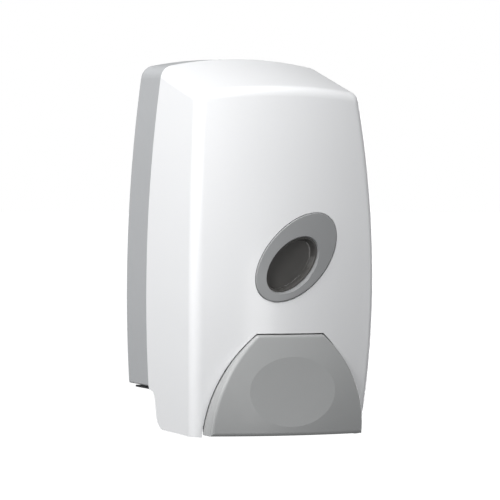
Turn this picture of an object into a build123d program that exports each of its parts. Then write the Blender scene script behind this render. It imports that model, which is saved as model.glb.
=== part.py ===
# Wall-mounted liquid soap dispenser, about one litre, with a lift-type piston pump.
#
# Row frame, millimetres: X to the right, Y into the wall, Z up.
# The back of the rear housing lies in the plane Y = 0, and the origin is the centre
# of the four wall-screw holes in that plane.  The dispenser stands out along -Y.
from math import atan2, cos, degrees, hypot, pi, radians, sin, sqrt
import os

from build123d import *

os.makedirs("parts", exist_ok=True)

# ---------------------------------------------------------------- driving sizes
Z_LOW = -128.7            # row Z of the cover's lower edge; heights h are measured from it


def zh(h):
    """Row Z of a height above the cover's lower edge."""
    return Z_LOW + h


HALF_W = 62.85            # widest half width of the outline
H_WIDE = 92.6             # height of the widest level
R_SIDE = 980.0            # bowed sides, seen from the front
H_TOP = 231.3             # apex of the domed top
R_TOP = 242.0             # dome of the top, seen from the front
R_CORNER = 9.2            # upper corners, seen from the front

D_REAR = 33.2             # depth of the rear housing
GAP = 0.3                 # parting gap between rear housing and cover
D_JOINT = D_REAR + GAP    # rear edge of the cover
TOP_FALL = 0.246          # fall of the cover's top per mm of depth
DRAFT = 0.018             # draft of the cover's sides per mm of depth
D_LOFT = 132.0

D_FRONT = 116.3           # depth of the cover's front on the centre line, at its deepest level
H_DEEP = 85.6             # height of that level
R_BARREL = 170.0          # horizontal radius of the front there
R_BOW_UP = 590.0          # bow of the front above that level, seen from the side
R_BOW_DN = 430.0          # and below it
R_EDGE = 8.5              # rounding between the front and the sides and top
WALL = 2.6

LIP_DROP = 1.3            # fall of the cover's lower edge towards the front
H_HOUSING = 25.9          # lower edge of the rear housing
PLATE = 3.0               # back plate

SCREW_X, SCREW_Z = 76.0, 150.0   # wall-screw pattern
SCREW_R = 2.6

# cover hinge
Y_HINGE, H_HINGE = -36.5, 26.6
R_CORNER_REAR = 3.0       # the cover's lower rear corner, concentric with the hinge
R_KNUCKLE = 2.7
ROD_R = 1.5
RUN = 0.06                # running clearance of a rod in its bore, on the radius

# push button
BTN_A, BTN_R_SIDE = 51.5, 82.3   # half width at the lower edge, radius of the arch's sides
H_BTN = 62.9              # flat top of the arch
BTN_GAP = 0.7
Y_PIVOT, H_PIVOT = -106.0, 56.0

# window: bezel and sight glass, ellipses turned about Y
WIN_TURN = 44.5
BEZ_X, BEZ_H, BEZ_A, BEZ_B = 3.7, 109.4, 33.5, 19.7
EYE_X, EYE_H, EYE_A, EYE_B = 0.7, 104.9, 20.6, 12.35

# pump, on a vertical axis
Y_PUMP = -74.0


# ---------------------------------------------------------------- shared outlines
def outline_points(inset, fall, h_low):
    """Corner points and mid points of the barrel-shaped outline, right half."""
    sx, sz = HALF_W - R_SIDE, zh(H_WIDE)
    tz = zh(H_TOP) - fall - R_TOP
    a, b = R_SIDE - R_CORNER, R_TOP - R_CORNER
    dx, dz = 0.0 - sx, tz - sz
    d = hypot(dx, dz)
    along = (a * a - b * b + d * d) / (2 * d)
    off = sqrt(a * a - along * along)
    ux, uz = dx / d, dz / d
    cx, cz = sx + along * ux - off * uz, sz + along * uz + off * ux
    if cz < tz:
        cx, cz = sx + along * ux + off * uz, sz + along * uz - off * ux
    rs, rt, rc = R_SIDE - inset, R_TOP - inset, R_CORNER - inset
    side = (sx + (cx - sx) / a * rs, sz + (cz - sz) / a * rs)
    top = (cx / b * rt, tz + (cz - tz) / b * rt)
    m1 = atan2(side[1] - cz, side[0] - cx)
    m2 = atan2(top[1] - cz, top[0] - cx)
    mid = (m1 + m2) / 2
    corner = (cx + rc * cos(mid), cz + rc * sin(mid))
    low = (sx + sqrt(rs * rs - (zh(h_low) - sz) ** 2), zh(h_low))
    hm = (low[1] + side[1]) / 2
    flank = (sx + sqrt(rs * rs - (hm - sz) ** 2), hm)
    return low, flank, side, corner, top, (0.0, tz + rt)


def outline(plane, inset=0.0, fall=0.0, h_low=0.0):
    """The barrel-shaped front outline as a face on the plane."""
    low, flank, side, corner, top, apex = outline_points(inset, fall, h_low)

    def m(p):
        return (-p[0], p[1])

    with BuildSketch(plane) as sk:
        with BuildLine():
            Line(m(low), low)
            ThreePointArc(low, flank, side)
            ThreePointArc(side, corner, top)
            ThreePointArc(top, apex, m(top))
            ThreePointArc(m(top), m(corner), m(side))
            ThreePointArc(m(side), m(flank), m(low))
        make_face()
    return sk.sketch


def front_y(x, h, inset=0.0):
    """Y of the cover's front surface."""
    r = R_BOW_UP if h > H_DEEP else R_BOW_DN
    dz = h - H_DEEP
    y_c = -D_FRONT + r - sqrt((r - inset) ** 2 - dz * dz)
    axis = R_BARREL - D_FRONT
    rad = axis - y_c
    return axis - sqrt(rad * rad - x * x)


def barrel(inset=0.0):
    """Solid of revolution about a vertical axis behind the dispenser: its skin is the front surface."""
    axis = R_BARREL - D_FRONT
    lo, hi = -12.0, 246.0

    def y_at(h):
        return front_y(0.0, h, inset)

    with BuildPart() as bp:
        with BuildSketch(Plane.YZ):
            with BuildLine():
                ThreePointArc((y_at(lo), zh(lo)), (y_at(38.0), zh(38.0)), (y_at(H_DEEP), zh(H_DEEP)))
                ThreePointArc((y_at(H_DEEP), zh(H_DEEP)), (y_at(170.0), zh(170.0)), (y_at(hi), zh(hi)))
                Line((y_at(hi), zh(hi)), (axis, zh(hi)))
                Line((axis, zh(hi)), (axis, zh(lo)))
                Line((axis, zh(lo)), (y_at(lo), zh(lo)))
            make_face()
        revolve(axis=Axis((0, axis, 0), (0, 0, 1)), revolution_arc=360)
    return bp.part


def cover_body(inset, h_low, edge, back=0.0):
    """The cover's outer form (inset 0) or the form of its hollow."""
    run = D_LOFT - D_JOINT
    extra = back
    with BuildPart() as bp:
        outline_a = outline(Plane.XZ.offset(D_JOINT - extra), inset - DRAFT * extra, -TOP_FALL * extra, h_low)
        outline_b = outline(Plane.XZ.offset(D_LOFT), inset + DRAFT * run, TOP_FALL * run, h_low)
        loft(sections=[outline_a, outline_b], ruled=True)
        add(barrel(inset), mode=Mode.INTERSECT)
        rim = bp.edges().filter_by(
            lambda e: e.center().Y < -80 and e.center().Z > zh(h_low) + 2 and e.length > 3
        )
        fillet(rim, radius=edge)
    return bp.part


def ellipse_prism(x, h, a, b, y0, y1):
    """Turned elliptical prism from Y = y0 towards -Y to y1."""
    with BuildPart() as bp:
        with BuildSketch(Plane.XZ.offset(-y0)):
            with Locations(Location((x, zh(h)), WIN_TURN)):
                Ellipse(a, b)
        extrude(amount=y0 - y1)
    return bp.part


def arch(plane, gap, h_low):
    """The button's arch as a face on an XZ plane."""
    r, top = BTN_R_SIDE - gap, H_BTN - gap
    cx = BTN_A - BTN_R_SIDE

    def edge(h):
        return cx + sqrt(r * r - h * h)

    hm = (h_low + top) / 2
    with BuildSketch(plane) as sk:
        with BuildLine():
            Line((-edge(h_low), zh(h_low)), (edge(h_low), zh(h_low)))
            ThreePointArc((edge(h_low), zh(h_low)), (edge(hm), zh(hm)), (edge(top), zh(top)))
            Line((edge(top), zh(top)), (-edge(top), zh(top)))
            ThreePointArc((-edge(top), zh(top)), (-edge(hm), zh(hm)), (-edge(h_low), zh(h_low)))
        make_face()
    return sk.sketch


# ================================================================ fixed housing
inner_ring_a = outline(Plane.XZ.offset(26.0), 2.4, 0.0, 28.5)
inner_ring_b = outline(Plane.XZ.offset(26.0), 5.0, 0.0, 28.5)
tongue_a = outline(Plane.XZ.offset(D_REAR - 0.2), 3.6, 0.0, 28.5)
tongue_b = outline(Plane.XZ.offset(D_REAR - 0.2), 5.0, 0.0, 28.5)

with BuildPart() as rear_housing:
    # tray: domed outline, closed at the wall side
    extrude(outline(Plane.XZ, 0.0, 0.0, H_HOUSING), amount=D_REAR)
    low_edges = rear_housing.edges().filter_by(Axis.Y).group_by(Axis.Z)[0]
    fillet(low_edges, radius=1.2)
    extrude(outline(Plane.XZ.offset(PLATE), WALL, 0.0, H_HOUSING + WALL), amount=40, mode=Mode.SUBTRACT)
    back_rim = rear_housing.faces().sort_by(Axis.Y)[-1].edges()
    chamfer(back_rim, length=0.6)
    # light-tight tongue inside the parting line, above the hinge
    with BuildPart(mode=Mode.PRIVATE) as tongue:
        extrude(inner_ring_a, amount=D_REAR - 26.0)
        extrude(inner_ring_b, amount=D_REAR - 26.0, mode=Mode.SUBTRACT)
        extrude(tongue_a, amount=2.6)
        extrude(tongue_b, amount=2.6, mode=Mode.SUBTRACT)
        with Locations((0, -30, zh(24))):
            Box(150, 30, 48, mode=Mode.SUBTRACT)
    add(tongue.part)
    # bosses round the wall-screw holes, and three stiffening ribs behind the tank
    with BuildSketch(Plane.XZ.offset(PLATE - 0.5)):
        with GridLocations(SCREW_X, SCREW_Z, 2, 2):
            Circle(6.5)
    extrude(amount=2.5)
    with BuildSketch(Plane.XZ.offset(PLATE - 0.5)):
        with Locations((-20, zh(140)), (0, zh(140)), (20, zh(140))):
            Rectangle(1.8, 112)
        with Locations((0, zh(170))):
            Rectangle(100, 1.8)
    extrude(amount=8.5)
    with BuildSketch(Plane.XZ.offset(-1)):
        with GridLocations(SCREW_X, SCREW_Z, 2, 2):
            Circle(SCREW_R)
    extrude(amount=12, mode=Mode.SUBTRACT)
    # pads the cradle is screwed to
    with BuildSketch(Plane.XZ.offset(PLATE - 0.5)):
        with Locations((-16, zh(58)), (16, zh(58))):
            Circle(5.0)
    extrude(amount=4.5)
    with BuildSketch(Plane.XZ.offset(2.0)):
        with Locations((-16, zh(58)), (16, zh(58))):
            Circle(1.4)
    extrude(amount=6, mode=Mode.SUBTRACT)
    # bosses for the hinge bracket's screws, standing on the floor of the tray
    with BuildSketch(Plane.XY.offset(zh(H_HOUSING + WALL) - 0.5)):
        with Locations((-34, -21), (0, -21), (34, -21)):
            Circle(3.6)
    extrude(amount=7.0)
    with BuildSketch(Plane.XY.offset(zh(H_HOUSING) - 1)):
        with Locations((-34, -21), (0, -21), (34, -21)):
            Circle(1.4)
    extrude(amount=8.5, mode=Mode.SUBTRACT)
    # seat and hole of the lock in the top wall
    with BuildSketch(Plane.XY.offset(zh(H_TOP) - 5.0)):
        with Locations((0, -16)):
            Circle(10.4)
    extrude(amount=3.0)
    with BuildSketch(Plane.XY.offset(zh(H_TOP) - 2.4)):
        with Locations((0, -16)):
            Circle(8.6)
    extrude(amount=6, mode=Mode.SUBTRACT)
    with BuildSketch(Plane.XY.offset(zh(H_TOP) - 12)):
        with Locations((0, -16)):
            Circle(6.2)
    extrude(amount=14, mode=Mode.SUBTRACT)
rear_housing.part.label = "rear_housing"
export_step(rear_housing.part, "parts/rear_housing.step")

with BuildPart() as hinge_bracket:
    # thin plate under the tray, with two knuckles that reach forward to the rod
    with BuildSketch(Plane.XY.offset(zh(H_HOUSING) - 1.9)):
        with Locations((0, -20.4)):
            RectangleRounded(119, 24.8, 1.5)
    extrude(amount=1.1)
    with BuildSketch(Plane.XY.offset(zh(H_HOUSING) - 1.2)):
        with Locations((-34, -21), (0, -21), (34, -21)):
            Circle(4.2)
    extrude(amount=1.2)
    for x in (-42, 42):
        with BuildSketch(Plane.YZ.offset(x - 4)):
            with Locations((Y_HINGE, zh(H_HINGE))):
                Circle(2.8)
            with BuildLine():
                Polyline(
                    (Y_HINGE, zh(H_HINGE) - 2.8), (-24.0, zh(H_HOUSING) - 2.4),
                    (-24.0, zh(H_HOUSING) - 0.9), (-33.6, zh(H_HOUSING) - 0.6),
                    (Y_HINGE, zh(H_HINGE) + 2.0), (Y_HINGE, zh(H_HINGE) - 2.8),
                )
            make_face()
        extrude(amount=8)
    with BuildSketch(Plane.YZ.offset(-60)):
        with Locations((Y_HINGE, zh(H_HINGE))):
            Circle(ROD_R)
    extrude(amount=120, mode=Mode.SUBTRACT)
    with BuildSketch(Plane.XY.offset(zh(H_HOUSING) - 3)):
        with Locations((-34, -21), (0, -21), (34, -21)):
            Circle(1.6)
    extrude(amount=4, mode=Mode.SUBTRACT)
hinge_bracket.part.label = "hinge_bracket"
export_step(hinge_bracket.part, "parts/hinge_bracket.step")


def pan_screws(points, plane, head_r, head_h, shank_r, length, recess=True):
    """Pan-head screws: heads above the plane, shanks below it."""
    with BuildPart() as bp:
        with BuildSketch(plane):
            with Locations(*points):
                Circle(head_r)
        extrude(amount=head_h)
        fillet(bp.edges().filter_by(GeomType.CIRCLE).filter_by(
            lambda e: abs(plane.to_local_coords(e.center()).Z - head_h) < 1e-4), radius=head_h * 0.45)
        with BuildSketch(plane):
            with Locations(*points):
                Circle(shank_r)
        extrude(amount=-length)
        if recess:
            with BuildSketch(plane.offset(head_h - 0.9)):
                with Locations(*points):
                    Rectangle(head_r * 1.1, 0.55)
                    Rectangle(0.55, head_r * 1.1)
            extrude(amount=1.5, mode=Mode.SUBTRACT)
    return bp.part


down = Plane(origin=(0, 0, zh(H_HOUSING) - 1.9), x_dir=(1, 0, 0), z_dir=(0, 0, -1))
hinge_screws = pan_screws([(-34, 21), (0, 21), (34, 21)], down, 2.8, 1.7, 1.4, 8.2)
hinge_screws.label = "hinge_screws"
export_step(hinge_screws, "parts/hinge_screws.step")

with BuildPart() as hinge_rod:
    with BuildSketch(Plane.YZ.offset(-56.5)):
        with Locations((Y_HINGE, zh(H_HINGE))):
            Circle(ROD_R)
    extrude(amount=113)
    chamfer(hinge_rod.edges().filter_by(GeomType.CIRCLE), length=0.4)
hinge_rod.part.label = "hinge_rod"
export_step(hinge_rod.part, "parts/hinge_rod.step")

# ---------------------------------------------------------------- cradle under the tank
H_SHELF = 70.0
with BuildPart() as tank_cradle:
    with BuildSketch(Plane.XY.offset(zh(H_SHELF) - 3)):
        with Locations((0, -48.5)):
            RectangleRounded(100, 83, 6)
        with Locations((0, Y_PUMP)):
            Circle(19.0, mode=Mode.SUBTRACT)
        with Locations((0, Y_PUMP - 25)):
            Rectangle(38, 50, mode=Mode.SUBTRACT)
    extrude(amount=3)
    # upstand screwed to the back plate, and two gussets under the shelf
    with BuildSketch(Plane.XZ.offset(7.0)):
        with Locations((0, zh(58))):
            RectangleRounded(56, 22, 3)
    extrude(amount=3)
    for x in (-27, 27):
        with BuildSketch(Plane.YZ.offset(x - 1.25)):
            with BuildLine():
                Polyline((-8, zh(49)), (-8, zh(H_SHELF) - 1), (-80, zh(H_SHELF) - 1),
                         (-80, zh(H_SHELF) - 5), (-20, zh(54)), (-8, zh(49)))
            make_face()
        extrude(amount=2.5)
    # low lip round the front corners that keeps the tank in place
    with BuildSketch(Plane.XY.offset(zh(H_SHELF) - 0.5)):
        with Locations((-49.1, -60), (49.1, -60)):
            Rectangle(1.7, 40)
    extrude(amount=3.5)
    with BuildSketch(Plane.XZ.offset(5)):
        with Locations((-16, zh(58)), (16, zh(58))):
            Circle(1.7)
    extrude(amount=8, mode=Mode.SUBTRACT)
tank_cradle.part.label = "tank_cradle"
export_step(tank_cradle.part, "parts/tank_cradle.step")

cradle_screws = pan_screws([(-16, zh(58)), (16, zh(58))], Plane.XZ.offset(10.0), 3.0, 2.0, 1.4, 7.5)
cradle_screws.label = "cradle_screws"
export_step(cradle_screws, "parts/cradle_screws.step")


# ---------------------------------------------------------------- tank
def tank_section(plane, w, y_back, y_front, r_front, r_back, inset=0.0):
    with BuildSketch(plane) as sk:
        with BuildLine():
            w2 = w - inset
            yb, yf = y_back - inset, y_front + inset
            rf, rb = max(r_front - inset, 1.0), max(r_back - inset, 1.0)
            FilletPolyline(
                (-20, yb), (-w2, yb), (-w2, yf + 3), (0, yf), (w2, yf + 3), (w2, yb), (20, yb),
                radius=(rb, rf, 60.0, rf, rb),
            )
            Line((20, yb), (-20, yb))
        make_face()
    return sk.sketch


TANK_BACK = -12.0
H_TANK_TOP = 199.0
with BuildPart() as soap_tank:
    lower = tank_section(Plane.XY.offset(zh(H_SHELF)), 44.0, TANK_BACK, -92.0, 14.0, 6.0)
    waist = tank_section(Plane.XY.offset(zh(H_SHELF + 16)), 53.0, TANK_BACK, -101.0, 16.0, 6.0)
    upper = tank_section(Plane.XY.offset(zh(H_TANK_TOP)), 48.5, TANK_BACK, -92.0, 14.0, 6.0)
    loft(sections=[lower, waist], ruled=True)
    loft(sections=[waist, upper], ruled=True)
    low_in = tank_section(Plane.XY.offset(zh(H_SHELF + 2.2)), 45.2, TANK_BACK, -93.2, 14.0, 6.0, 2.0)
    waist_in = tank_section(Plane.XY.offset(zh(H_SHELF + 16)), 53.0, TANK_BACK, -101.0, 16.0, 6.0, 2.0)
    up_in = tank_section(Plane.XY.offset(zh(H_TANK_TOP - 2)), 48.6, TANK_BACK, -92.2, 14.0, 6.0, 2.0)
    with BuildPart(mode=Mode.PRIVATE) as tank_hollow:
        loft(sections=[low_in, waist_in], ruled=True)
        loft(sections=[waist_in, up_in], ruled=True)
    add(tank_hollow.part, mode=Mode.SUBTRACT)
    # filler mouth with a raised rim
    with BuildSketch(Plane.XY.offset(zh(H_TANK_TOP) - 1)):
        with Locations((0, -52)):
            RectangleRounded(66, 50, 12)
    extrude(amount=4.0)
    with BuildSketch(Plane.XY.offset(zh(H_TANK_TOP) - 4)):
        with Locations((0, -52)):
            RectangleRounded(62, 46, 10)
    extrude(amount=9, mode=Mode.SUBTRACT)
    # outlet neck
    with BuildSketch(Plane.XY.offset(zh(61.00))):
        with Locations((0, Y_PUMP)):
            Circle(13.0)
    extrude(amount=10.5)
    with BuildSketch(Plane.XY.offset(zh(56.00))):
        with Locations((0, Y_PUMP)):
            Circle(10.0)
    extrude(amount=18, mode=Mode.SUBTRACT)
soap_tank.part.label = "soap_tank"
export_step(soap_tank.part, "parts/soap_tank.step")

with BuildPart() as tank_lid:
    with BuildSketch(Plane.XY.offset(zh(H_TANK_TOP) + 3.0)):
        with Locations((0, -52)):
            RectangleRounded(71, 55, 14)
    extrude(amount=1.8)
    fillet(tank_lid.faces().sort_by(Axis.Z)[-1].edges(), radius=1.0)
    with BuildSketch(Plane.XY.offset(zh(H_TANK_TOP) + 3.2)):
        with Locations((0, -52)):
            RectangleRounded(71, 55, 14)
            RectangleRounded(66.4, 50.4, 12.2, mode=Mode.SUBTRACT)
    extrude(amount=-2.8)
    # inner plug skirt, finger tab and vent boss
    with BuildSketch(Plane.XY.offset(zh(H_TANK_TOP) + 3.2)):
        with Locations((0, -52)):
            RectangleRounded(61.6, 45.6, 9.8)
            RectangleRounded(58.0, 42.0, 8.2, mode=Mode.SUBTRACT)
    extrude(amount=-5.2)
    with BuildSketch(Plane.XY.offset(zh(H_TANK_TOP) + 3.0)):
        with Locations((0, -81)):
            RectangleRounded(22, 9, 3)
    extrude(amount=1.8)
    with BuildSketch(Plane.XY.offset(zh(H_TANK_TOP) + 4.5)):
        with Locations((0, -40)):
            Circle(4.0)
    extrude(amount=1.6)
    with BuildSketch(Plane.XY.offset(zh(H_TANK_TOP))):
        with Locations((0, -40)):
            Circle(0.8)
    extrude(amount=10, mode=Mode.SUBTRACT)
tank_lid.part.label = "tank_lid"
export_step(tank_lid.part, "parts/tank_lid.step")

# ---------------------------------------------------------------- pump, fixed part
pump_axis = Location((0, Y_PUMP, 0))
with BuildPart() as pump_nut:
    with BuildSketch(Plane.XY.offset(zh(55.00))):
        with Locations((0, Y_PUMP)):
            Circle(17.0)
    extrude(amount=11.8)
    fillet(pump_nut.edges().filter_by(GeomType.CIRCLE), radius=1.0)
    with BuildSketch(Plane.XY.offset(zh(57.00))):
        with Locations((0, Y_PUMP)):
            Circle(13.02)
    extrude(amount=12, mode=Mode.SUBTRACT)
    with BuildSketch(Plane.XY.offset(zh(54.00))):
        with Locations((0, Y_PUMP)):
            Circle(8.6)
    extrude(amount=5, mode=Mode.SUBTRACT)
    with BuildSketch(Plane.XY.offset(zh(54.00))):
        with Locations((0, Y_PUMP)):
            with PolarLocations(17.4, 18):
                Circle(0.9)
    extrude(amount=14, mode=Mode.SUBTRACT)
pump_nut.part.label = "pump_nut"
export_step(pump_nut.part, "parts/pump_nut.step")

with BuildPart() as pump_gasket:
    with BuildSketch(Plane.XY.offset(zh(59.20))):
        with Locations((0, Y_PUMP)):
            Circle(12.8)
            Circle(8.5, mode=Mode.SUBTRACT)
    extrude(amount=1.8)
pump_gasket.part.label = "pump_gasket"
export_step(pump_gasket.part, "parts/pump_gasket.step")

with BuildPart() as pump_body:
    # barrel that reaches up into the tank, clamped by its flange
    with BuildSketch(Plane.XY.offset(zh(57.00))):
        with Locations((0, Y_PUMP)):
            Circle(12.8)
    extrude(amount=2.2)
    with BuildSketch(Plane.XY.offset(zh(52.50))):
        with Locations((0, Y_PUMP)):
            Circle(8.4)
    extrude(amount=39.5)
    with BuildSketch(Plane.XY.offset(zh(55.50))):
        with Locations((0, Y_PUMP)):
            Circle(6.0)
    extrude(amount=33.5, mode=Mode.SUBTRACT)
    with BuildSketch(Plane.XY.offset(zh(52.00))):
        with Locations((0, Y_PUMP)):
            Circle(4.1)
    extrude(amount=5, mode=Mode.SUBTRACT)
    with BuildSketch(Plane.XY.offset(zh(88.00))):
        with Locations((0, Y_PUMP)):
            Circle(1.9)
    extrude(amount=6, mode=Mode.SUBTRACT)
    # conical seat of the inlet ball
    with Locations((0, Y_PUMP, zh(90.90))):
        Cone(1.9, 3.4, 2.2, mode=Mode.SUBTRACT)
pump_body.part.label = "pump_body"
export_step(pump_body.part, "parts/pump_body.step")

with BuildPart() as inlet_cage:
    with BuildSketch(Plane.XY.offset(zh(92.00))):
        with Locations((0, Y_PUMP)):
            Circle(6.6)
            Circle(4.6, mode=Mode.SUBTRACT)
    extrude(amount=6.5)
    with BuildSketch(Plane.XY.offset(zh(98.50))):
        with Locations((0, Y_PUMP)):
            Circle(6.6)
    extrude(amount=1.6)
    with BuildSketch(Plane.XY.offset(zh(97.50))):
        with Locations((0, Y_PUMP)):
            with PolarLocations(3.0, 4):
                Circle(1.1)
    extrude(amount=4, mode=Mode.SUBTRACT)
    for a in (0, 90):
        with BuildSketch(Plane.XY.offset(zh(93.00))):
            with Locations(Location((0, Y_PUMP), a)):
                Rectangle(20, 3.2)
        extrude(amount=4.0, mode=Mode.SUBTRACT)
inlet_cage.part.label = "inlet_cage"
export_step(inlet_cage.part, "parts/inlet_cage.step")

with BuildPart() as inlet_ball:
    with Locations((0, Y_PUMP, zh(94.05))):
        Sphere(3.0)
inlet_ball.part.label = "inlet_ball"
export_step(inlet_ball.part, "parts/inlet_ball.step")

# ---------------------------------------------------------------- pump, moving part
with BuildPart() as piston_rod:
    # hollow rod with piston head, lifting collar and outlet tube
    with BuildSketch(Plane.XZ.offset(-Y_PUMP)):
        with BuildLine():
            Polyline(
                (1.8, zh(13.0)), (5.0, zh(13.0)), (5.0, zh(19.0)), (4.0, zh(21.0)),
                (4.0, zh(40.0)), (10.0, zh(40.0)), (10.0, zh(42.4)), (4.0, zh(42.9)),
                (4.0, zh(56.4)), (5.85, zh(56.4)), (5.85, zh(58.4)), (4.4, zh(58.4)),
                (4.4, zh(61.0)), (5.85, zh(61.0)), (5.85, zh(63.0)), (3.6, zh(63.0)),
                (3.6, zh(66.0)), (1.8, zh(66.0)), (1.8, zh(13.0)),
            )
        make_face()
    revolve(axis=Axis((0, Y_PUMP, 0), (0, 0, 1)), revolution_arc=360)
piston_rod.part.label = "piston_rod"
export_step(piston_rod.part, "parts/piston_rod.step")

with BuildPart() as piston_seal:
    with BuildSketch(Plane.XZ.offset(-Y_PUMP)):
        with Locations((5.15, zh(59.7))):
            Circle(0.74)
    revolve(axis=Axis((0, Y_PUMP, 0), (0, 0, 1)), revolution_arc=360)
piston_seal.part.label = "piston_seal"
export_step(piston_seal.part, "parts/piston_seal.step")

with BuildPart() as outlet_valve:
    # soft duckbill pushed over the end of the outlet tube
    with BuildSketch(Plane.XY.offset(zh(13.0))):
        with Locations((0, Y_PUMP)):
            Circle(5.0)
    with BuildSketch(Plane.XY.offset(zh(11.6))):
        with Locations((0, Y_PUMP)):
            Circle(5.0)
    loft()
    with BuildSketch(Plane.XY.offset(zh(11.6))):
        with Locations((0, Y_PUMP)):
            Circle(4.0)
    with BuildSketch(Plane.XY.offset(zh(6.0))):
        with Locations((0, Y_PUMP)):
            Rectangle(6.4, 1.3)
    loft()
    with BuildSketch(Plane.XY.offset(zh(13.0))):
        with Locations((0, Y_PUMP)):
            Circle(1.8)
    extrude(amount=-4.0, mode=Mode.SUBTRACT)
outlet_valve.part.label = "outlet_valve"
export_step(outlet_valve.part, "parts/outlet_valve.step")

SPRING_LOW, SPRING_TOP = 63.0, 89.0
with BuildPart() as return_spring:
    with BuildLine(Plane(origin=(0, Y_PUMP, zh(SPRING_LOW) + 0.5))) as coil:
        Helix(pitch=3.6, height=SPRING_TOP - SPRING_LOW - 1.0, radius=4.9)
    with BuildSketch(Plane(origin=coil.line @ 0, z_dir=coil.line % 0)):
        Circle(0.45)
    sweep(path=coil.line, is_frenet=True)
return_spring.part.label = "return_spring"
export_step(return_spring.part, "parts/return_spring.step")

# ---------------------------------------------------------------- lock in the top wall
Y_LOCK = -16.0
with BuildPart() as lock_sleeve:
    with BuildSketch(Plane.XY.offset(zh(H_TOP) - 2.4)):
        with Locations((0, Y_LOCK)):
            Circle(8.3)
    extrude(amount=1.8)
    fillet(lock_sleeve.faces().sort_by(Axis.Z)[-1].edges(), radius=0.6)
    with BuildSketch(Plane.XY.offset(zh(H_TOP) - 14)):
        with Locations((0, Y_LOCK)):
            Circle(6.0)
    extrude(amount=12.0)
    with BuildSketch(Plane.XY.offset(zh(H_TOP) - 15)):
        with Locations((0, Y_LOCK)):
            Circle(4.4)
    extrude(amount=20, mode=Mode.SUBTRACT)
lock_sleeve.part.label = "lock_sleeve"
export_step(lock_sleeve.part, "parts/lock_sleeve.step")

with BuildPart() as lock_nut:
    with BuildSketch(Plane.XY.offset(zh(H_TOP) - 8.4)):
        with Locations((0, Y_LOCK)):
            RegularPolygon(8.0, 6)
            Circle(6.0, mode=Mode.SUBTRACT)
    extrude(amount=3.4)
lock_nut.part.label = "lock_nut"
export_step(lock_nut.part, "parts/lock_nut.step")

with BuildPart() as lock_plug:
    with BuildSketch(Plane.XY.offset(zh(H_TOP) - 15.5)):
        with Locations((0, Y_LOCK)):
            Circle(4.4 - RUN)
    extrude(amount=14.6)
    with BuildSketch(Plane.XY.offset(zh(H_TOP) - 18.5)):
        with Locations((0, Y_LOCK)):
            Rectangle(4.6, 4.6)
    extrude(amount=3.5)
    # key slot with a centre pin
    with BuildSketch(Plane.XY.offset(zh(H_TOP) - 0.9 - 6)):
        with Locations((0, Y_LOCK)):
            Rectangle(1.7, 6.0)
            Circle(1.7)
    extrude(amount=8, mode=Mode.SUBTRACT)
    with BuildSketch(Plane.XY.offset(zh(H_TOP) - 19)):
        with Locations((0, Y_LOCK)):
            Circle(1.2)
    extrude(amount=7, mode=Mode.SUBTRACT)
lock_plug.part.label = "lock_plug"
export_step(lock_plug.part, "parts/lock_plug.step")

with BuildPart() as lock_cam:
    # finger that turns behind the catch's lip; drawn unlocked, pointing to the front
    with BuildSketch(Plane.XY.offset(zh(H_TOP) - 17.7)):
        with Locations((0, Y_LOCK)):
            Circle(5.2)
        with Locations((0, Y_LOCK - 4.5)):
            SlotOverall(16.0, 7.0, rotation=90)
        with Locations((0, Y_LOCK)):
            Rectangle(4.62, 4.62, mode=Mode.SUBTRACT)
    extrude(amount=1.8)
lock_cam.part.label = "lock_cam"
export_step(lock_cam.part, "parts/lock_cam.step")

cam_down = Plane(origin=(0, 0, zh(H_TOP) - 18.5), x_dir=(1, 0, 0), z_dir=(0, 0, -1))
cam_screw = pan_screws([(0, -Y_LOCK)], cam_down, 3.0, 1.6, 1.2, 6.0)
cam_screw.label = "cam_screw"
export_step(cam_screw, "parts/cam_screw.step")

# ================================================================ cover
cover_outer = cover_body(0.0, -LIP_DROP, R_EDGE)
cover_inner = cover_body(WALL, WALL, R_EDGE - WALL, back=6.0)
skin_1 = barrel(1.5)

bezel_seat = ellipse_prism(BEZ_X, BEZ_H, BEZ_A + 0.2, BEZ_B + 0.2, -90.0, -130.0)
eye_hole = ellipse_prism(EYE_X, EYE_H, EYE_A + 3.1, EYE_B + 3.1, -90.0, -130.0)

# pins of the bezel, given along its long and short axis
ct, st = cos(radians(WIN_TURN)), sin(radians(WIN_TURN))
PINS = [(25.5, 6.5), (25.5, -6.5), (-31.6, 0.0)]
PIN_XH = [(BEZ_X + p * ct - q * st, BEZ_H + p * st + q * ct) for p, q in PINS]
PIN_R = 1.1
PAD_Y = [front_y(x, h, WALL) + 1.2 for x, h in PIN_XH]

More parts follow.
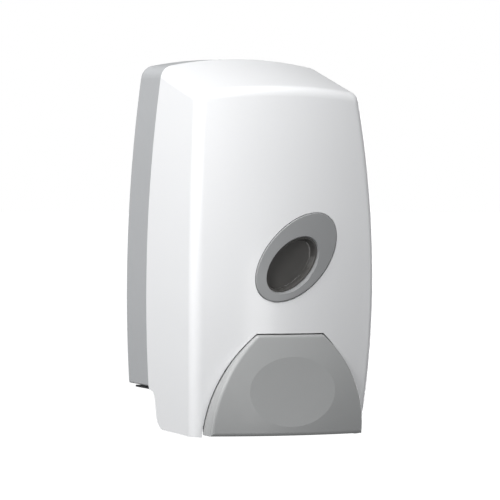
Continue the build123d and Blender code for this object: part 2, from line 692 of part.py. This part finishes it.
CATCH_X = 14.0
with BuildPart() as front_cover:
    add(cover_outer)
    fillet(front_cover.edges().group_by(Axis.Z)[0].filter_by(lambda e: e.center().Y < -40), radius=0.9)
    add(cover_inner, mode=Mode.SUBTRACT)
    # open underneath, between two side lips
    with BuildSketch(Plane.XY.offset(zh(-3))):
        with Locations((0, -75)):
            Rectangle(2 * (BTN_A), 100)
    extrude(amount=9, mode=Mode.SUBTRACT)
    # step at the lower rear corner that lets the cover swing under the tray
    with BuildSketch(Plane.YZ.offset(-80)):
        with BuildLine():
            FilletPolyline((-20, zh(23.5)), (-42.0, zh(23.5)), (-44.0, zh(0.0)), (-130.0, zh(-LIP_DROP - 0.2)),
                           radius=(5.5, 8.5))
            Polyline((-130.0, zh(-LIP_DROP - 0.2)), (-130.0, zh(-6)), (-20, zh(-6)), (-20, zh(23.5)))
        make_face()
    extrude(amount=160, mode=Mode.SUBTRACT)
    with BuildSketch(Plane.YZ.offset(-80)):
        with Locations((Y_HINGE + 5, zh(H_HINGE) - 5)):
            Rectangle(10, 10)
        with Locations((Y_HINGE, zh(H_HINGE))):
            Circle(R_CORNER_REAR, mode=Mode.SUBTRACT)
    extrude(amount=160, mode=Mode.SUBTRACT)
    # arch for the push button
    extrude(arch(Plane.XZ.offset(85), 0.0, -6.0), amount=50, mode=Mode.SUBTRACT)
    # hinge bosses on the side walls
    for x0, x1 in ((-59.5, -47.0), (47.0, 59.5)):
        with BuildSketch(Plane.YZ.offset(x0)):
            with Locations((Y_HINGE, zh(H_HINGE))):
                Circle(R_KNUCKLE)
            with Locations((Y_HINGE - 3.5, zh(H_HINGE + 0.2))):
                Rectangle(7.0, 5.0)
        extrude(amount=x1 - x0)
    with BuildSketch(Plane.YZ.offset(-57.0)):
        with Locations((Y_HINGE, zh(H_HINGE))):
            Circle(ROD_R + RUN)
    extrude(amount=114, mode=Mode.SUBTRACT)
    # ears of the button's rod, inside the front wall on both sides of the arch
    for x in (-37.7, 37.7):
        with BuildSketch(Plane.YZ.offset(x - 1.5)):
            with BuildLine():
                Polyline((-110.2, zh(H_PIVOT - 5.0)), (-110.2, zh(H_PIVOT + 12.0)), (-105.0, zh(H_PIVOT + 4.0)),
                         (-102.6, zh(H_PIVOT)), (-105.0, zh(H_PIVOT - 3.8)), (-110.2, zh(H_PIVOT - 5.0)))
            make_face()
            with Locations((Y_PIVOT, zh(H_PIVOT))):
                Circle(3.6)
        extrude(amount=3)
    with BuildSketch(Plane.YZ.offset(-41)):
        with Locations((Y_PIVOT, zh(H_PIVOT))):
            Circle(ROD_R)
    extrude(amount=82, mode=Mode.SUBTRACT)
    # flat pads inside, behind the bezel's pins
    for (x, h), y in zip(PIN_XH, PAD_Y):
        with BuildSketch(Plane.XZ.offset(-y)):
            with Locations((x, zh(h))):
                Circle(3.6)
        extrude(amount=2.0)
    # seat of the bezel, hole of its neck, and holes of its pins
    add(bezel_seat - skin_1, mode=Mode.SUBTRACT)
    add(eye_hole, mode=Mode.SUBTRACT)
    with BuildSketch(Plane.XZ.offset(95)):
        with Locations(*[(x, zh(h)) for x, h in PIN_XH]):
            Circle(PIN_R)
    extrude(amount=30, mode=Mode.SUBTRACT)
    # bosses the lock catch is screwed to, under the top
    for y, top in ((-40.0, 227.6), (-49.0, 225.4)):
        with BuildSketch(Plane.XY.offset(zh(218.0))):
            with Locations((CATCH_X, y)):
                Circle(3.0)
        extrude(amount=top - 218.0)
    with BuildSketch(Plane.XY.offset(zh(217.0))):
        with Locations((CATCH_X, -40.0), (CATCH_X, -49.0)):
            Circle(1.2)
    extrude(amount=6.2, mode=Mode.SUBTRACT)
front_cover.part.label = "front_cover"
export_step(front_cover.part, "parts/front_cover.step")

# ---------------------------------------------------------------- window
flange = ellipse_prism(BEZ_X, BEZ_H, BEZ_A - 0.25, BEZ_B - 0.25, -90.0, -130.0) & barrel(-0.6)
flange = flange.fillet(0.7, flange.edges().filter_by(lambda e: e.center().Y < -100))
flange = flange - barrel(1.5)
Y_GLASS = -108.6          # seat of the glass, from inside
with BuildPart() as window_bezel:
    add(flange)
    add(ellipse_prism(EYE_X, EYE_H, EYE_A + 2.8, EYE_B + 2.8, -105.0, -130.0) & barrel(1.0))
    add(ellipse_prism(EYE_X, EYE_H, EYE_A, EYE_B, -100.0, -130.0), mode=Mode.SUBTRACT)
    # flared mouth
    with BuildPart(mode=Mode.PRIVATE) as mouth:
        with BuildSketch(Plane.XZ.offset(114.0)):
            with Locations(Location((EYE_X, zh(EYE_H)), WIN_TURN)):
                Ellipse(EYE_A, EYE_B)
        with BuildSketch(Plane.XZ.offset(118.0)):
            with Locations(Location((EYE_X, zh(EYE_H)), WIN_TURN)):
                Ellipse(EYE_A + 1.6, EYE_B + 1.6)
        loft()
    add(mouth.part, mode=Mode.SUBTRACT)
    # rebate for the sight glass, cut from inside
    add(ellipse_prism(EYE_X, EYE_H, EYE_A + 1.4, EYE_B + 1.4, -100.0, Y_GLASS), mode=Mode.SUBTRACT)
    for (x, h), y in zip(PIN_XH, PAD_Y):
        with BuildSketch(Plane.XZ.offset(-y - 3.0)):
            with Locations((x, zh(h))):
                Circle(PIN_R)
        extrude(amount=-(front_y(x, h, 1.0) - y) + 3.0)
window_bezel.part.label = "window_bezel"
export_step(window_bezel.part, "parts/window_bezel.step")

with BuildPart() as window_lens:
    # deep cup with a flange: its floor is the sight glass
    add(ellipse_prism(EYE_X, EYE_H, EYE_A + 1.3, EYE_B + 1.3, Y_GLASS + 1.6, Y_GLASS))
    add(ellipse_prism(EYE_X, EYE_H, EYE_A - 0.1, EYE_B - 0.1, Y_GLASS + 1.0, -113.2))
    with BuildPart(mode=Mode.PRIVATE) as cup:
        with BuildSketch(Plane.XZ.offset(114.0)):
            with Locations(Location((EYE_X, zh(EYE_H)), WIN_TURN)):
                Ellipse(EYE_A - 0.9, EYE_B - 0.9)
        with BuildSketch(Plane.XZ.offset(-(Y_GLASS + 0.3))):
            with Locations(Location((EYE_X, zh(EYE_H)), WIN_TURN)):
                Ellipse(EYE_A - 2.4, EYE_B - 2.4)
        loft()
        fillet(cup.faces().sort_by(Axis.Y)[-1].edges(), radius=0.7)
    add(cup.part, mode=Mode.SUBTRACT)
window_lens.part.label = "window_lens"
export_step(window_lens.part, "parts/window_lens.step")

with BuildPart() as lens_retainer:
    add(ellipse_prism(EYE_X, EYE_H, EYE_A + 1.3, EYE_B + 1.3, Y_GLASS + 3.4, Y_GLASS + 1.6))
    add(ellipse_prism(EYE_X, EYE_H, EYE_A - 0.8, EYE_B - 0.8, -100.0, -112.0), mode=Mode.SUBTRACT)
lens_retainer.part.label = "lens_retainer"
export_step(lens_retainer.part, "parts/lens_retainer.step")

with BuildPart() as bezel_clips:
    for (x, h), y in zip(PIN_XH, PAD_Y):
        with BuildSketch(Plane.XZ.offset(-y)):
            with Locations((x, zh(h))):
                Circle(2.4)
                Circle(PIN_R, mode=Mode.SUBTRACT)
        extrude(amount=-0.7)
bezel_clips.part.label = "bezel_clips"
export_step(bezel_clips.part, "parts/bezel_clips.step")

# ---------------------------------------------------------------- lock catch
with BuildPart() as lock_catch:
    with BuildSketch(Plane.XY.offset(zh(216.6))):
        with Locations((CATCH_X, -31.6)):
            RectangleRounded(9, 42.8, 1.5)
        with Locations((CATCH_X, -40.0), (CATCH_X, -49.0)):
            Circle(1.3, mode=Mode.SUBTRACT)
    extrude(amount=1.4)
    # lip that the cam's finger turns in front of
    with BuildSketch(Plane.XY.offset(zh(211.6))):
        with Locations((CATCH_X - 2.6, -11.2)):
            Rectangle(8.0, 1.6)
    extrude(amount=5.6)
lock_catch.part.label = "lock_catch"
export_step(lock_catch.part, "parts/lock_catch.step")

catch_down = Plane(origin=(0, 0, zh(216.6)), x_dir=(1, 0, 0), z_dir=(0, 0, -1))
catch_screws = pan_screws([(CATCH_X, 40.0), (CATCH_X, 49.0)], catch_down, 2.6, 1.5, 1.2, 6.4)
catch_screws.label = "catch_screws"
export_step(catch_screws, "parts/catch_screws.step")

with BuildPart() as button_rod:
    with BuildSketch(Plane.YZ.offset(-39.4)):
        with Locations((Y_PIVOT, zh(H_PIVOT))):
            Circle(ROD_R)
    extrude(amount=78.8)
    chamfer(button_rod.edges().filter_by(GeomType.CIRCLE), length=0.3)
button_rod.part.label = "button_rod"
export_step(button_rod.part, "parts/button_rod.step")

# ================================================================ push button
BTN_R = 190.0             # horizontal radius of the button's face
BTN_D = 121.0             # its depth on the centre line
H_BTN_MAX = 28.0
R_BTN_V = 140.0           # bow of the face above that level, seen from the side
R_BTN_LOW = 150.0         # and below it


def button_barrel(inset):
    axis = BTN_R - BTN_D

    def y_at(h):
        r = R_BTN_V if h > H_BTN_MAX else R_BTN_LOW
        return -BTN_D + r - sqrt((r - inset) ** 2 - (h - H_BTN_MAX) ** 2)

    lo, hi = -6.0, 72.0
    with BuildPart() as bp:
        with BuildSketch(Plane.YZ):
            with BuildLine():
                ThreePointArc((y_at(lo), zh(lo)), (y_at(11.0), zh(11.0)), (y_at(H_BTN_MAX), zh(H_BTN_MAX)))
                ThreePointArc((y_at(H_BTN_MAX), zh(H_BTN_MAX)), (y_at(50.0), zh(50.0)), (y_at(hi), zh(hi)))
                Line((y_at(hi), zh(hi)), (axis, zh(hi)))
                Line((axis, zh(hi)), (axis, zh(lo)))
                Line((axis, zh(lo)), (y_at(lo), zh(lo)))
            make_face()
        revolve(axis=Axis((0, axis, 0), (0, 0, 1)), revolution_arc=360)
    return bp.part


btn_skin = button_barrel(0.0)
btn_skin_in = button_barrel(4.3)

# finger dish: a shallow saddle that meets the face in an oval, 57 x 43 mm
H_DISH, DISH = 25.4, 1.8
R_DISH_H, R_DISH_V = 1200.0, 1100.0
with BuildPart() as dish_tool:
    dish_axis = -BTN_D + DISH + R_DISH_H
    y_dish = -BTN_D + DISH
    with BuildSketch(Plane.YZ):
        with BuildLine():
            end = 60.0 ** 2 / (2 * R_DISH_V)
            ThreePointArc((y_dish - end, zh(H_DISH - 60)), (y_dish, zh(H_DISH)), (y_dish - end, zh(H_DISH + 60)))
            Line((y_dish - end, zh(H_DISH + 60)), (-150, zh(H_DISH + 60)))
            Line((-150, zh(H_DISH + 60)), (-150, zh(H_DISH - 60)))
            Line((-150, zh(H_DISH - 60)), (y_dish - end, zh(H_DISH - 60)))
        make_face()
    revolve(axis=Axis((0, dish_axis, 0), (0, 0, 1)), revolution_arc=360)

# sloping flanks where the button stands proud of the cover: none at the top, wide at the bottom
LEAN = radians(13.5)


def flank_section(out, cut_top, cut_low):
    """Arch on a plane that leans with the cover's front, moved out by a distance."""
    plane = Plane(origin=(0, -115.2 - out * cos(LEAN), zh(H_BTN) + out * sin(LEAN)), x_dir=(1, 0, 0),
                  z_dir=(0, -cos(LEAN), sin(LEAN)))

    def edge(h):
        r = BTN_R_SIDE - BTN_GAP
        return BTN_A - BTN_R_SIDE + sqrt(r * r - h * h)

    rise = 6.0
    x_top, x_mid, x_low = edge(H_BTN) - cut_top, edge(30.0) - (cut_top + cut_low) / 2, edge(0.0) - cut_low
    s_mid, s_low = -(H_BTN - 30.0) / cos(LEAN), -(H_BTN + 4.0) / cos(LEAN)
    with BuildSketch(plane) as sk:
        with BuildLine():
            Line((-x_top, rise), (x_top, rise))
            Line((x_top, rise), (x_top, 0))
            ThreePointArc((x_top, 0), (x_mid, s_mid), (x_low, s_low))
            Line((x_low, s_low), (-x_low, s_low))
            ThreePointArc((-x_low, s_low), (-x_mid, s_mid), (-x_top, 0))
            Line((-x_top, 0), (-x_top, rise))
        make_face()
    return sk.sketch


with BuildPart() as flank_form:
    loft(sections=[flank_section(-30.0, -18.0, -18.0), flank_section(-0.6, -0.3, -0.3)], ruled=True)
    loft(sections=[flank_section(-0.6, -0.3, -0.3), flank_section(12.0, 5.0, 9.5)], ruled=True)

LUG_X = 22.4
with BuildPart() as push_button:
    extrude(arch(Plane.XZ.offset(96.6), BTN_GAP, 0.4), amount=30)
    add(btn_skin, mode=Mode.INTERSECT)
    add(flank_form.part, mode=Mode.INTERSECT)
    face_edges = push_button.edges().filter_by(lambda e: e.center().Y < -101 and e.length > 15)
    fillet(face_edges, radius=2.6)
    with BuildPart(mode=Mode.PRIVATE) as btn_hollow:
        extrude(arch(Plane.XZ.offset(95.6), BTN_GAP + 2.4, 2.8), amount=30)
        add(btn_skin_in, mode=Mode.INTERSECT)
        hollow_edges = btn_hollow.edges().filter_by(lambda e: e.center().Y < -101 and e.length > 15)
        fillet(hollow_edges, radius=1.0)
    add(btn_hollow.part, mode=Mode.SUBTRACT)
    # lugs on the rod
    for x in (-LUG_X, LUG_X):
        with BuildSketch(Plane.YZ.offset(x - 1.75)):
            with BuildLine():
                Polyline((-113.6, zh(H_PIVOT - 7.0)), (-113.6, zh(H_PIVOT + 4.2)), (-106.0, zh(H_PIVOT + 3.4)),
                         (-102.6, zh(H_PIVOT)), (-106.0, zh(H_PIVOT - 3.4)), (-113.6, zh(H_PIVOT - 7.0)))
            make_face()
            with Locations((Y_PIVOT, zh(H_PIVOT))):
                Circle(3.4)
        extrude(amount=3.5)
    with BuildSketch(Plane.YZ.offset(-36)):
        with Locations((Y_PIVOT, zh(H_PIVOT))):
            Circle(ROD_R + RUN)
    extrude(amount=72, mode=Mode.SUBTRACT)
    # screw bosses for the fork
    with BuildSketch(Plane.XZ.offset(108.0)):
        with Locations((-9.5, zh(40.2)), (9.5, zh(40.2))):
            Circle(3.4)
    extrude(amount=9.0)
    with BuildSketch(Plane.XZ.offset(107.0)):
        with Locations((-9.5, zh(40.2)), (9.5, zh(40.2))):
            Circle(1.3)
    extrude(amount=8.0, mode=Mode.SUBTRACT)
    # finger dish
    add(dish_tool.part, mode=Mode.SUBTRACT)
push_button.part.label = "push_button"
export_step(push_button.part, "parts/push_button.step")

# fork that lifts the pump's collar
H_FORK = 33.0
with BuildPart() as pump_fork:
    with BuildSketch(Plane.XZ.offset(105.4)):
        with Locations((0, zh(39.5))):
            RectangleRounded(30, 13, 2)
    extrude(amount=2.6)
    with BuildSketch(Plane.XY.offset(zh(H_FORK))):
        with Locations((0, -87.0)):
            RectangleRounded(29.6, 38.4, 2)
        with Locations((0, -76.0)):
            SlotOverall(26, 14.0, rotation=90, mode=Mode.SUBTRACT)
        with Locations((0, -68.0)):
            Rectangle(14.0, 12.0, mode=Mode.SUBTRACT)
    extrude(amount=3.0)
    # noses on the arms, under the collar
    for x0, x1 in ((-11.0, -7.0), (7.0, 11.0)):
        with BuildSketch(Plane.YZ.offset(x0)):
            with BuildLine():
                Line((-76.0, zh(H_FORK + 2.5)), (-76.0, zh(37.6)))
                ThreePointArc((-76.0, zh(37.6)), (-74.0, zh(39.6)), (-72.0, zh(37.6)))
                Polyline((-72.0, zh(37.6)), (-72.0, zh(H_FORK + 2.5)), (-76.0, zh(H_FORK + 2.5)))
            make_face()
        extrude(amount=x1 - x0)
    # stiffening ribs between pad and arms
    for x in (-14.0, 14.0):
        with BuildSketch(Plane.YZ.offset(x - 0.8)):
            with BuildLine():
                Polyline((-105.5, zh(43.5)), (-105.5, zh(H_FORK + 2.5)), (-88.0, zh(H_FORK + 2.5)), (-105.5, zh(43.5)))
            make_face()
        extrude(amount=1.6)
    with BuildSketch(Plane.XZ.offset(104)):
        with Locations((-9.5, zh(40.2)), (9.5, zh(40.2))):
            Circle(1.5)
    extrude(amount=6, mode=Mode.SUBTRACT)
pump_fork.part.label = "pump_fork"
export_step(pump_fork.part, "parts/pump_fork.step")

# the heads face the wall side
fork_plane = Plane(origin=(0, -105.4, 0), x_dir=(-1, 0, 0), z_dir=(0, 1, 0))
fork_screws = pan_screws([(-9.5, zh(40.2)), (9.5, zh(40.2))], fork_plane, 2.7, 1.6, 1.3, 9.0)
fork_screws.label = "fork_screws"
export_step(fork_screws, "parts/fork_screws.step")
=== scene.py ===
import math
import bpy
import bmesh
from mathutils import Matrix, Vector


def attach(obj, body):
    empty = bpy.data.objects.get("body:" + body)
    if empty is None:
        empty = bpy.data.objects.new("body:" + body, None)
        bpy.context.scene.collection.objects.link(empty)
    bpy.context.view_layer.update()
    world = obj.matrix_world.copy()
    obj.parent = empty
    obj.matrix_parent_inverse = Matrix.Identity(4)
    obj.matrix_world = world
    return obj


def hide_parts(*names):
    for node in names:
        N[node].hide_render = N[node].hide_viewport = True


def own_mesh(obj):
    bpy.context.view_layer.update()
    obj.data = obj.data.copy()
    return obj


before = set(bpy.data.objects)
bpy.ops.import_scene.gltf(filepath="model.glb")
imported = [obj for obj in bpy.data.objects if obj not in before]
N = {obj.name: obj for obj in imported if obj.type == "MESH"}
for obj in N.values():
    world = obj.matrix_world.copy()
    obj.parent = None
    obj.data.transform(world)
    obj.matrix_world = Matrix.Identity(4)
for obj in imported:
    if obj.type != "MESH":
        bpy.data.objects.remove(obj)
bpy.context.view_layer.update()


# ------------------------------------------------------------------ materials
def new_mat(name):
    m = bpy.data.materials.new(name)
    m.use_nodes = True
    nt = m.node_tree
    for n in list(nt.nodes):
        nt.nodes.remove(n)
    out = nt.nodes.new("ShaderNodeOutputMaterial")
    bsdf = nt.nodes.new("ShaderNodeBsdfPrincipled")
    nt.links.new(bsdf.outputs["BSDF"], out.inputs["Surface"])
    return m, nt, bsdf


def coords(nt):
    return nt.nodes.new("ShaderNodeTexCoord").outputs["Object"]


def noise(nt, vec, scale, detail=3.0, rough=0.5, distortion=0.0):
    n = nt.nodes.new("ShaderNodeTexNoise")
    n.inputs["Scale"].default_value = scale
    n.inputs["Detail"].default_value = detail
    n.inputs["Roughness"].default_value = rough
    n.inputs["Distortion"].default_value = distortion
    nt.links.new(vec, n.inputs["Vector"])
    return n.outputs["Fac"]


def ramp(nt, fac, stops):
    r = nt.nodes.new("ShaderNodeValToRGB")
    e = r.color_ramp.elements
    while len(e) < len(stops):
        e.new(0.5)
    for i, (p, c) in enumerate(stops):
        e[i].position = p
        e[i].color = (*c, 1.0) if len(c) == 3 else c
    nt.links.new(fac, r.inputs["Fac"])
    return r.outputs["Color"]


def remap(nt, fac, lo, hi, a=0.3, b=0.7):
    m = nt.nodes.new("ShaderNodeMapRange")
    m.inputs["From Min"].default_value = a
    m.inputs["From Max"].default_value = b
    m.inputs["To Min"].default_value = lo
    m.inputs["To Max"].default_value = hi
    nt.links.new(fac, m.inputs["Value"])
    return m.outputs["Result"]


def mix(nt, fac, a, b, kind="MIX"):
    m = nt.nodes.new("ShaderNodeMix")
    m.data_type = "RGBA"
    m.blend_type = kind
    m.clamp_result = True
    if isinstance(fac, float):
        m.inputs["Factor"].default_value = fac
    else:
        nt.links.new(fac, m.inputs["Factor"])
    for key, v in (("A", a), ("B", b)):
        sock = [i for i in m.inputs if i.name == key and i.type == "RGBA"][0]
        if hasattr(v, "is_linked") or hasattr(v, "node"):
            nt.links.new(v, sock)
        else:
            sock.default_value = (*v, 1.0)
    return [o for o in m.outputs if o.type == "RGBA"][0]


def bump(nt, height, strength, distance, prev=None):
    b = nt.nodes.new("ShaderNodeBump")
    b.inputs["Strength"].default_value = strength
    b.inputs["Distance"].default_value = distance
    nt.links.new(height, b.inputs["Height"])
    if prev is not None:
        nt.links.new(prev, b.inputs["Normal"])
    return b.outputs["Normal"]


def plastic(name, col, spread=0.02, rough=(0.3, 0.4), grain=2600.0, grain_h=0.00002, flow=14.0,
            orange=0.00002, coat=0.0, spec=0.5, dust=0.0, sub=0.0):
    """Moulded plastic: fine grain, faint flow clouding, slightly uneven gloss."""
    m, nt, b = new_mat(name)
    vec = coords(nt)
    cloud = noise(nt, vec, flow, 4.0, 0.55, 0.6)
    lo = tuple(max(c - spread, 0.0) for c in col)
    hi = tuple(min(c + spread, 1.0) for c in col)
    base = ramp(nt, cloud, [(0.3, lo), (0.7, hi)])
    speck = noise(nt, vec, 900.0, 2.0, 0.6)
    base = mix(nt, remap(nt, speck, 0.0, 0.10, 0.55, 0.8), base, tuple(c * 0.82 for c in col))
    if dust > 0.0:
        settle = noise(nt, vec, 60.0, 6.0, 0.65)
        base = mix(nt, remap(nt, settle, 0.0, dust, 0.5, 0.85), base, (0.62, 0.61, 0.59))
    nt.links.new(base, b.inputs["Base Color"])
    scuff = noise(nt, vec, 120.0, 5.0, 0.6, 0.4)
    nt.links.new(remap(nt, scuff, rough[0], rough[1]), b.inputs["Roughness"])
    fine = noise(nt, vec, grain, 2.0, 0.5)
    n1 = bump(nt, fine, 0.35, grain_h)
    soft = noise(nt, vec, 90.0, 2.0, 0.4)
    n2 = bump(nt, soft, 0.25, orange, n1)
    nt.links.new(n2, b.inputs["Normal"])
    b.inputs["Specular IOR Level"].default_value = spec
    b.inputs["IOR"].default_value = 1.5
    if coat:
        b.inputs["Coat Weight"].default_value = coat
        b.inputs["Coat Roughness"].default_value = 0.12
    if sub:
        b.inputs["Subsurface Weight"].default_value = sub
        b.inputs["Subsurface Scale"].default_value = 0.003
        b.inputs["Subsurface Radius"].default_value = (1.0, 0.9, 0.8)
    return m


def metal(name, col, rough=(0.22, 0.4), streak=(600.0, 40.0, 600.0), stains=0.05):
    m, nt, b = new_mat(name)
    vec = coords(nt)
    mp = nt.nodes.new("ShaderNodeMapping")
    mp.inputs["Scale"].default_value = streak
    nt.links.new(vec, mp.inputs["Vector"])
    lines = noise(nt, mp.outputs["Vector"], 1.0, 3.0, 0.6)
    cloud = noise(nt, vec, 45.0, 4.0, 0.6)
    base = ramp(nt, cloud, [(0.3, tuple(c - stains for c in col)), (0.7, tuple(min(c + stains, 1) for c in col))])
    nt.links.new(base, b.inputs["Base Color"])
    nt.links.new(remap(nt, lines, rough[0], rough[1]), b.inputs["Roughness"])
    nt.links.new(bump(nt, lines, 0.3, 0.00002), b.inputs["Normal"])
    b.inputs["Metallic"].default_value = 1.0
    return m


def smoked(name):
    """Smoked clear moulding, its tone clouded at random."""
    m, nt, b = new_mat(name)
    vec = coords(nt)
    cloud = noise(nt, vec, 30.0, 3.0, 0.5)
    nt.links.new(ramp(nt, cloud, [(0.3, (0.140, 0.136, 0.130)), (0.7, (0.185, 0.180, 0.173))]), b.inputs["Base Color"])
    nt.links.new(remap(nt, noise(nt, vec, 150.0, 4.0, 0.6), 0.05, 0.13), b.inputs["Roughness"])
    nt.links.new(bump(nt, noise(nt, vec, 70.0, 2.0, 0.4), 0.2, 0.00003), b.inputs["Normal"])
    b.inputs["Transmission Weight"].default_value = 0.35
    b.inputs["IOR"].default_value = 1.46
    return m


WHITE = plastic("cover_white_abs", (0.86, 0.865, 0.875), 0.006, (0.30, 0.36), 3200.0, 0.000010, 10.0, 0.000004, coat=0.2)
GREY_BODY = plastic("housing_grey_abs", (0.43, 0.438, 0.448), 0.012, (0.42, 0.52), 2200.0, 0.00004, 12.0, 0.00002)
GREY_BTN = plastic("button_grey_abs", (0.38, 0.386, 0.386), 0.010, (0.36, 0.46), 2400.0, 0.00003, 14.0, 0.00002)
GREY_BEZ = plastic("bezel_grey_abs", (0.31, 0.315, 0.32), 0.010, (0.34, 0.44), 2400.0, 0.00003, 14.0, 0.00002)
BLACK = plastic("black_abs", (0.035, 0.035, 0.038), 0.006, (0.40, 0.52), 2000.0, 0.00004, 20.0, 0.00002)
NATURAL = plastic("natural_pe", (0.74, 0.745, 0.72), 0.02, (0.34, 0.46), 1500.0, 0.00004, 16.0, 0.00006, sub=0.3)
POM = plastic("white_pom", (0.74, 0.74, 0.72), 0.012, (0.28, 0.38), 2400.0, 0.00002, 20.0, 0.00002)
SEAL = plastic("silicone_seal", (0.50, 0.51, 0.51), 0.02, (0.50, 0.62), 1800.0, 0.00005, 30.0, 0.00004)
STEEL = metal("steel_brushed", (0.56, 0.56, 0.57))
ZINC = metal("zinc_plated", (0.66, 0.66, 0.67), (0.12, 0.24), (90.0, 90.0, 90.0), 0.03)
LENS = smoked("smoked_clear")

LOOK = {
    "rear_housing": GREY_BODY, "hinge_bracket": BLACK, "hinge_screws": STEEL, "hinge_rod": STEEL,
    "tank_cradle": POM, "cradle_screws": STEEL, "soap_tank": NATURAL, "tank_lid": NATURAL,
    "pump_nut": POM, "pump_gasket": SEAL, "pump_body": POM, "inlet_cage": POM, "inlet_ball": STEEL,
    "piston_rod": POM, "piston_seal": SEAL, "outlet_valve": SEAL, "return_spring": STEEL,
    "lock_sleeve": ZINC, "lock_nut": ZINC, "lock_plug": ZINC, "lock_cam": STEEL, "cam_screw": STEEL,
    "front_cover": WHITE, "window_bezel": GREY_BEZ, "window_lens": LENS, "lens_retainer": BLACK,
    "bezel_clips": STEEL, "lock_catch": STEEL, "catch_screws": STEEL, "button_rod": STEEL,
    "push_button": GREY_BTN, "pump_fork": POM, "fork_screws": STEEL,
}
for name, m in LOOK.items():
    o = N[name]
    if not o.data.materials:
        o.data.materials.append(m)
    for i in range(len(o.data.materials)):
        o.data.materials[i] = m

# ------------------------------------------------------------------ return spring
# The spring's upper end stands still under the pump body while its lower end rises with the piston,
# so a copy of the coil rides on the housing.
coil = bpy.data.objects.new("spring_coil", bpy.data.objects["return_spring"].data.copy())
coil.matrix_world = bpy.data.objects["return_spring"].matrix_world.copy()
bpy.context.scene.collection.objects.link(coil)
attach(coil, "housing")
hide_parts("return_spring")
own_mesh(coil)

# ------------------------------------------------------------------ stage
bpy.ops.mesh.primitive_plane_add(size=80.0, location=(0, 10, -1.25))
floor = bpy.context.object
floor.name = "floor"
fm, fnt, fb = new_mat("floor_pale")
fvec = coords(fnt)
fcol = ramp(fnt, noise(fnt, fvec, 3.0, 3.0, 0.5), [(0.3, (0.86, 0.86, 0.86)), (0.7, (0.90, 0.90, 0.90))])
fnt.links.new(fcol, fb.inputs["Base Color"])
fb.inputs["Roughness"].default_value = 0.8
fb.inputs["Emission Color"].default_value = (1, 1, 1, 1)
fb.inputs["Emission Strength"].default_value = 0.95
floor.data.materials.append(fm)
floor.visible_diffuse = False
floor.visible_glossy = False
floor.visible_transmission = False

world = bpy.data.worlds.new("studio")
bpy.context.scene.world = world
world.use_nodes = True
wnt = world.node_tree
for n in list(wnt.nodes):
    wnt.nodes.remove(n)
wout = wnt.nodes.new("ShaderNodeOutputWorld")
seen = wnt.nodes.new("ShaderNodeBackground")
seen.inputs["Color"].default_value = (1, 1, 1, 1)
seen.inputs["Strength"].default_value = 1.0
lit = wnt.nodes.new("ShaderNodeBackground")
lit.inputs["Color"].default_value = (0.96, 0.98, 1.0, 1)
lit.inputs["Strength"].default_value = 0.15
path = wnt.nodes.new("ShaderNodeLightPath")
wmix = wnt.nodes.new("ShaderNodeMixShader")
wnt.links.new(path.outputs["Is Camera Ray"], wmix.inputs["Fac"])
wnt.links.new(lit.outputs[0], wmix.inputs[1])
wnt.links.new(seen.outputs[0], wmix.inputs[2])
wnt.links.new(wmix.outputs[0], wout.inputs["Surface"])


def area(name, loc, aim, size, power, colour=(1, 1, 1)):
    d = bpy.data.lights.new(name, "AREA")
    d.shape = "RECTANGLE"
    d.size, d.size_y = size
    d.energy = power
    d.color = colour
    o = bpy.data.objects.new(name, d)
    o.location = loc
    o.rotation_euler = (Vector(aim) - Vector(loc)).to_track_quat("-Z", "Y").to_euler()
    bpy.context.scene.collection.objects.link(o)
    return o


area("key", (-1.90, -1.75, 1.05), (0, -0.06, 0.0), (0.9, 0.9), 23.5)
area("side", (-1.95, -0.15, 0.85), (0, -0.06, 0.03), (1.1, 1.1), 28.0)
area("fill_front", (0.34, -2.3, -0.50), (0, -0.06, -0.05), (0.5, 1.2), 11.0)
area("right", (2.20, -0.70, -0.25), (0, -0.06, -0.07), (0.9, 0.9), 3.5)
area("right_rear", (1.70, 1.60, 0.05), (0, -0.06, -0.02), (0.9, 0.9), 10.0)
area("rear", (0.80, 2.20, -0.20), (0, -0.06, -0.05), (1.0, 1.0), 5.0)
area("top", (-0.5, -0.5, 1.7), (0, -0.06, 0.0), (1.0, 1.0), 25.0)

# ------------------------------------------------------------------ camera
cam_data = bpy.data.cameras.new("camera")
cam = bpy.data.objects.new("camera", cam_data)
bpy.context.scene.collection.objects.link(cam)
AZ, F_PX, Y_HORIZON, ROLL = math.radians(23.5), 3600.0, 130.0, -0.012
dip = math.atan((250.0 - Y_HORIZON) / F_PX)
d = Vector((math.sin(AZ) * math.cos(dip), math.cos(AZ) * math.cos(dip), -math.sin(dip)))
r0 = Vector((math.cos(AZ), -math.sin(AZ), 0.0))
v0 = r0.cross(d)
c, q = math.cos(ROLL), math.sin(ROLL)
r = c * r0 - q * v0
v = q * r0 + c * v0
cam.matrix_world = Matrix((
    (r.x, v.x, -d.x, -0.8993),
    (r.y, v.y, -d.y, -2.1191),
    (r.z, v.z, -d.z, 0.0581),
    (0.0, 0.0, 0.0, 1.0),
))
cam_data.sensor_width = 36.0
cam_data.lens = F_PX / 500.0 * 36.0
cam_data.clip_start, cam_data.clip_end = 0.05, 200.0
bpy.context.scene.camera = cam
bpy.context.scene.view_settings.view_transform = "Standard"
bpy.context.scene.view_settings.look = "None"
